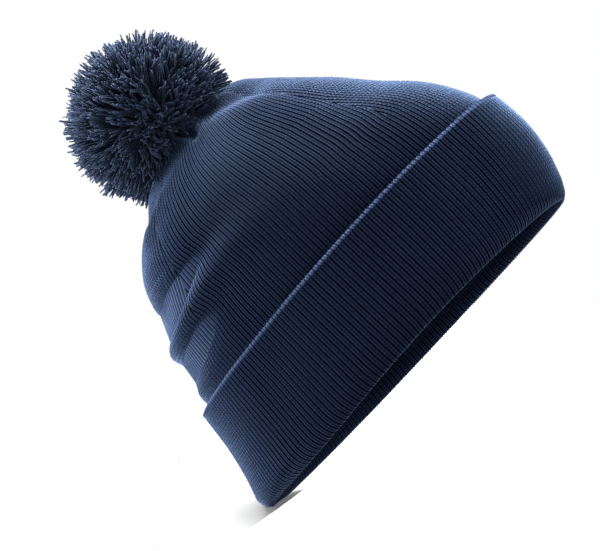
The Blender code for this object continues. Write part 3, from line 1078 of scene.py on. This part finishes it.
@dataclass
class Studio:
    """Pale floor, soft lights and the camera, which looks at the hat's side with the view tilted."""

    target: Vector = field(default_factory=lambda: Vector((0, 0.0175, 0.0681)))
    elevation: float = -6.0
    distance: float = 1.5
    width_seen: float = 0.294
    tilt: tuple[float, float] = (0.6890, 0.7248)
    shadow_lean: float = 6.6
    slope_length: float = 1.2
    slope_width: float = 1.6
    lamp_distance: float = 1.1
    soft_light: float = 0.05  # the surroundings' strength as the hat sees them
    floor_drop: float = 3 * MM
    floor_glow: float = 0.30
    slope_glow: float = 0.14
    brightening: tuple[float, float] = (0.28, 1.0)  # distances over which a floor turns white

    def axes(self) -> tuple[Vector, Vector, Vector]:
        """The view's right and up, and the direction back to the camera."""
        rise = math.radians(self.elevation)
        ahead = Vector((0, -1, 0))
        crown = Vector((math.sin(rise), 0, math.cos(rise)))
        back = Vector((-math.cos(rise), 0, math.sin(rise)))
        right = self.tilt[0] * ahead - self.tilt[1] * crown
        up = self.tilt[1] * ahead + self.tilt[0] * crown
        return right.normalized(), up.normalized(), back.normalized()

    def camera(self) -> None:
        """Place the camera."""
        right, up, back = self.axes()
        data = bpy.data.cameras.new("camera")
        data.sensor_width = 36
        data.lens = 36 * self.distance / self.width_seen
        camera = bpy.data.objects.new("camera", data)
        turn = Matrix((right, up, back)).transposed().to_4x4()
        camera.matrix_world = Matrix.Translation(self.target + back * self.distance) @ turn
        bpy.context.scene.collection.objects.link(camera)
        bpy.context.scene.camera = camera

    def lights(self) -> None:
        """Hang the soft lamps round the hat."""
        right, up, back = self.axes()
        for lamp in Lamp:
            name, energy, size, (sideways, above, near) = lamp.value
            data = bpy.data.lights.new(name, "AREA")
            data.shape = "DISK"
            data.size = size
            data.energy = energy
            away = (right * sideways + up * above + back * near).normalized()
            light = bpy.data.objects.new(name, data)
            light.location = self.target + away * self.lamp_distance
            light.rotation_euler = away.to_track_quat("Z", "Y").to_euler()
            bpy.context.scene.collection.objects.link(light)

    def world(self) -> None:
        """White surroundings for the camera, softer ones for the hat."""
        world = bpy.data.worlds.new("studio")
        bpy.context.scene.world = world
        bpy.context.scene.view_settings.view_transform = "Standard"
        graph = Graph(world)
        white = (1, 1, 1, 1)
        by_camera = graph.node("ShaderNodeLightPath", {}, {}).outputs["Is Camera Ray"]
        soft = graph.node("ShaderNodeBackground", {}, {"Color": white, "Strength": self.soft_light})
        seen = graph.node("ShaderNodeBackground", {}, {"Color": white, "Strength": 1.0})
        parts = {0: by_camera, 1: soft.outputs[0], 2: seen.outputs[0]}
        mix = graph.node("ShaderNodeMixShader", {}, parts)
        graph.node("ShaderNodeOutputWorld", {}, {"Surface": mix.outputs[0]})

    def floor_material(self, name: str, glow: float) -> bpy.types.Material:
        """Pale floor that shows from above only, and brightens into the surroundings with distance."""
        graph = Graph(bpy.data.materials.new(name))
        away = graph.node("ShaderNodeVectorMath", {"operation": "LENGTH"}, {0: graph.object_place()})
        distance = Signal(graph, away.outputs["Value"]).eased(*self.brightening)
        shine = graph.blend(distance, (glow, glow, glow, 1), (1, 1, 1, 1))
        pale = {"Base Color": (0.3, 0.3, 0.3, 1), "Roughness": 1.0, "Specular IOR Level": 0.0}
        both = graph.node(
            "ShaderNodeBsdfPrincipled", {}, {**pale, "Emission Color": shine, "Emission Strength": 1.0}
        )
        clear = graph.node("ShaderNodeBsdfTransparent", {}, {})
        side = graph.node("ShaderNodeNewGeometry", {}, {}).outputs["Backfacing"]
        mix = graph.node("ShaderNodeMixShader", {}, {0: side, 1: both.outputs[0], 2: clear.outputs[0]})
        graph.node("ShaderNodeOutputMaterial", {}, {"Surface": mix.outputs[0]})
        return graph.owner

    def floor(self, tip: Vector) -> None:
        """A wide floor under the brim, and a tilted one that catches the shadow below the raised edge.

        Args:
            tip: The lowest point in the view, where the brim touches the tilted floor.
        """
        bpy.ops.object.select_all(action="DESELECT")
        bpy.ops.mesh.primitive_plane_add(size=6, location=(0, 0, -self.floor_drop))
        floor = bpy.context.object
        floor.name = "floor"
        floor.data.materials.append(self.floor_material("pale_floor", self.floor_glow))
        right, up, back = self.axes()
        lean = math.radians(self.shadow_lean)
        normal = up * math.cos(lean) + back * math.sin(lean)
        near = back * math.cos(lean) - up * math.sin(lean)
        bpy.ops.mesh.primitive_plane_add(size=1)
        slope = bpy.context.object
        slope.name = "shadow_floor"
        turn = Matrix((right, -near, normal)).transposed().to_4x4()
        middle = tip + right * (self.slope_length / 2 - 0.05)
        size = Matrix.Diagonal((self.slope_length, self.slope_width, 1, 1))
        slope.data.transform(Matrix.Translation(middle) @ turn @ size)
        slope.data.materials.append(self.floor_material("shadow_floor", self.slope_glow))

    def build(self, tip: Vector) -> None:
        """Set up the whole studio round a hat whose brim ends at `tip`."""
        self.camera()
        self.lights()
        self.world()
        self.floor(tip)


# Assembly
# --------

# Rows of an Outline: height, reach forwards, reach rearwards, half width and lift, in millimetres.
CROWN_SECTIONS = np.array(
    (
        (7.4, 99.1, 106, 81.2, 0),
        (22, 104.3, 101.5, 82.6, 0),
        (40, 107.2, 97.3, 83.5, 0),
        (58, 106.7, 93.7, 83.6, 0),
        (73, 101.9, 89.5, 82.8, 0),
        (89, 92.5, 87.1, 79.6, 0),
        (105, 78.3, 80.1, 73.4, 0),
        (121, 65.7, 71.9, 64.4, 0),
        (135, 52.5, 59.3, 53, 0),
        (147, 41.3, 42.7, 40, 0),
        (155.5, 30.5, 28.5, 27.4, 0.8),
        (159.4, 12.9, 21.7, 14.6, 1.8),
        (158, -5.1, 17.1, 6, 1.1),
    ),
    float,
)

CUFF_SECTIONS = np.array(
    (
        (0, 102.5, 112.5, 86, 0),
        (6, 103.7, 111.5, 86.4, 0),
        (20, 109.1, 106.9, 87.5, 0),
        (35, 112.1, 102.9, 88.3, 0),
        (50, 112.3, 100.3, 88.5, 0),
        (64, 111.1, 98.3, 88.2, 0),
    ),
    float,
)


def dress_threads(material: bpy.types.Material) -> None:
    """Give the CAD's threads and fastening their twisted thread."""
    for name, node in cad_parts.items():
        if name.startswith(("dart_seam", "crown_draw", "pom_anchor", "pom_tie", "pom_binding")):
            node.data.materials.clear()
            node.data.materials.append(material)


@dataclass(frozen=True)
class Cut:
    """The flat size of a knitted piece before it was sewn and pulled on, in metres."""

    piece: str
    width: float
    length: float
    held: str
    rests_on: tuple[str, ...]

    def declare(self, piece: bpy.types.Object) -> None:
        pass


CUTS = (
    Cut("crown_lower_knit", 0.560, 0.112, "stretched", ("crown_lining_knit",)),
    Cut("crown_upper_knit", 0.560, 0.094, "gathered", ("crown_lining_knit",)),
    Cut("crown_lining_knit", 0.560, 0.206, "gathered", ("brim_fold_knit",)),
    Cut("cuff_knit", 0.560, 0.124, "folded", ("crown_lower_knit",)),
    Cut("brim_fold_knit", 0.560, 0.036, "folded", ("cuff_knit",)),
)


POM_FORWARD = 1.9 * MM  # the strands' ball sits this far forward of the yarn's middle
POM_RISE = 0.4 * MM  # and this far above it
WAIST_RISE = 7 * MM  # the strands are gathered this far above the tie's end


def knit_pieces() -> list[bpy.types.Object]:
    """Make the crown, the cuff, the fold at the brim and the two edge cords."""
    knit = RibKnit(
        "navy_rib_knit", (0.015, 0.023, 0.054), (0.005, 0.0085, 0.021), (0.0005, 0.001, 0.003)
    ).material()
    # The edge cords' knit is the navy yarn painted lighter: a painted highlight where the cuff's top and the
    # brim's edge catch light.
    edge = RibKnit(
        "navy_edge_knit_painted_highlight", (0.080, 0.115, 0.220), (0.042, 0.064, 0.130), (0.010, 0.018, 0.040)
    ).material()
    # The lining is the same navy yarn painted lighter: painted light inside the hat, where little light
    # reaches.
    lining = RibKnit(
        "lining_rib_knit", (0.046, 0.074, 0.155), (0.022, 0.037, 0.085), (0.002, 0.004, 0.012), 0.5
    ).material()
    ribs = RibCount()
    crown = Crown(Outline(CROWN_SECTIONS), ribs, Slouch(), knit, lining)
    cuff = Cuff(Outline(CUFF_SECTIONS), ribs, knit)
    pieces = [*crown.build(), cuff.build(), BrimFold(cuff, lining).build()]
    top = cuff.top + 1.5
    hem = EdgeCord("cuff_hem_cord", cuff, edge, depth=0.7, height=top, radius=0.88, loops=2.0).build()
    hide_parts("cuff_hem")
    brim = EdgeCord("brim_edge_cord", cuff, edge, depth=4.5, height=0.35, radius=0.45, loops=2.0, swell=0.15)
    return [*pieces, hem, brim.build()]


def pom_pom() -> bpy.types.Object:
    """Make the pom-pom round its yarn in the frame, gathered above its tie."""
    low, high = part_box("pom_yarn")
    tie_low, tie_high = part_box("pom_tie")
    radius = (high.x - low.x) / 2
    centre = Vector(((low.x + high.x) / 2, (low.y + high.y) / 2 - POM_FORWARD, high.z - radius + POM_RISE))
    waist = Vector(((tie_low.x + tie_high.x) / 2, (tie_low.y + tie_high.y) / 2, tie_high.z + WAIST_RISE))
    return PomPom(CutYarn().material(), centre, waist, radius).build()


def main() -> None:
    """Build the hat piece by piece and report each one."""
    logging.basicConfig(level=logging.INFO, format="%(name)s: %(message)s")
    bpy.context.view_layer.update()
    pieces = [*knit_pieces(), pom_pom()]
    dress_threads(SewingThread().material())
    by_name = {piece.name: piece for piece in pieces}
    for cut in CUTS:
        cut.declare(by_name[cut.piece])
    for piece in pieces:
        piece.data.calc_loop_triangles()
        LOG.info("%s: %d triangles", piece.name, len(piece.data.loop_triangles))
    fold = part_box("brim_outer_fold")
    Studio().build(Vector((0, fold[1].y - 3 * MM, -0.3 * MM)))


if __name__ == "__main__":
    main()
